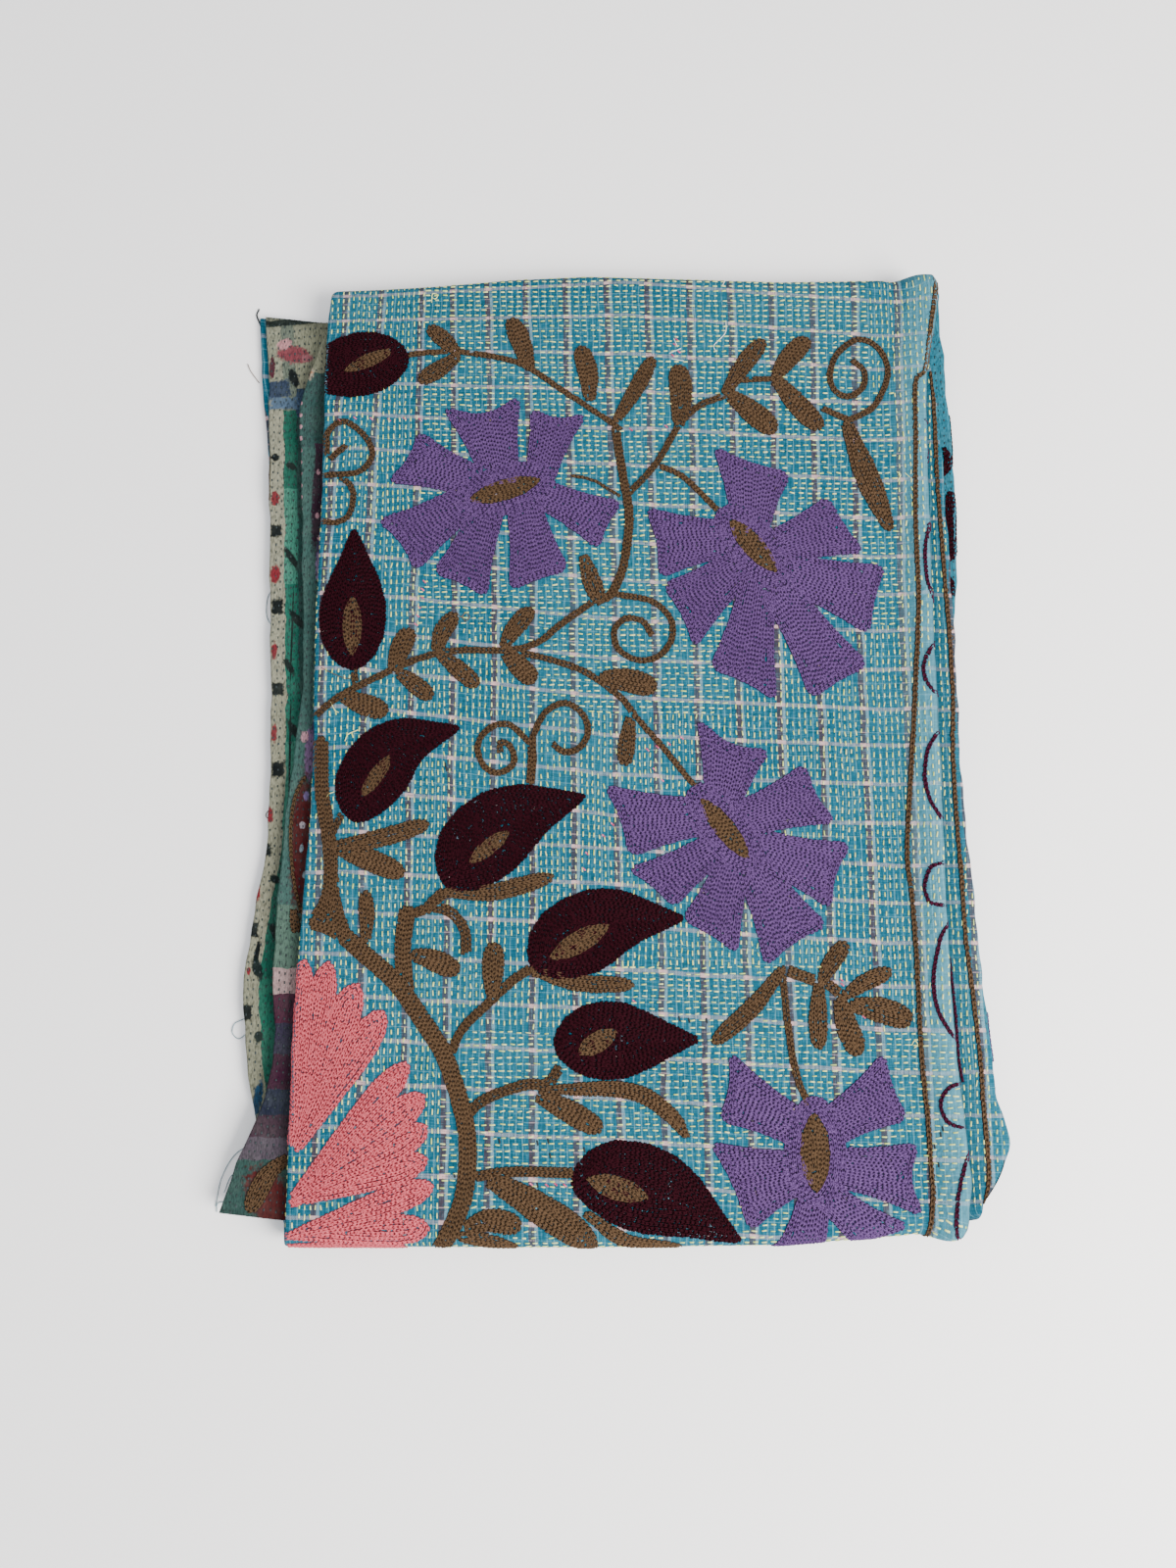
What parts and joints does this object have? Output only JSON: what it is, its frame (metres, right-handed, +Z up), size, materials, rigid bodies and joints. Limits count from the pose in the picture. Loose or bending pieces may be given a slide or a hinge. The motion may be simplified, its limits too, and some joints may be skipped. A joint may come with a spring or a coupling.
{
  "type": "kantha quilt",
  "caption": "Thin hand-stitched cotton quilt folded flat into a rectangular stack, blue window-pane check with chain-stitched flowers, leaves and buds, a patchwork back showing along one side.",
  "frame": {"origin": "centre of the folded quilt's footprint, on the surface it rests on", "axes": "+Z up, +Y along the folded quilt's long side, +X across it, towards the border with the pleat"},
  "size_m": [0.5408, 0.71, 0.0306],
  "materials": {
    "stitched_cotton": "matte"
  },
  "bodies": {
    "root": {"quilt": "stitched_cotton"}
  },
  "joints": []
}
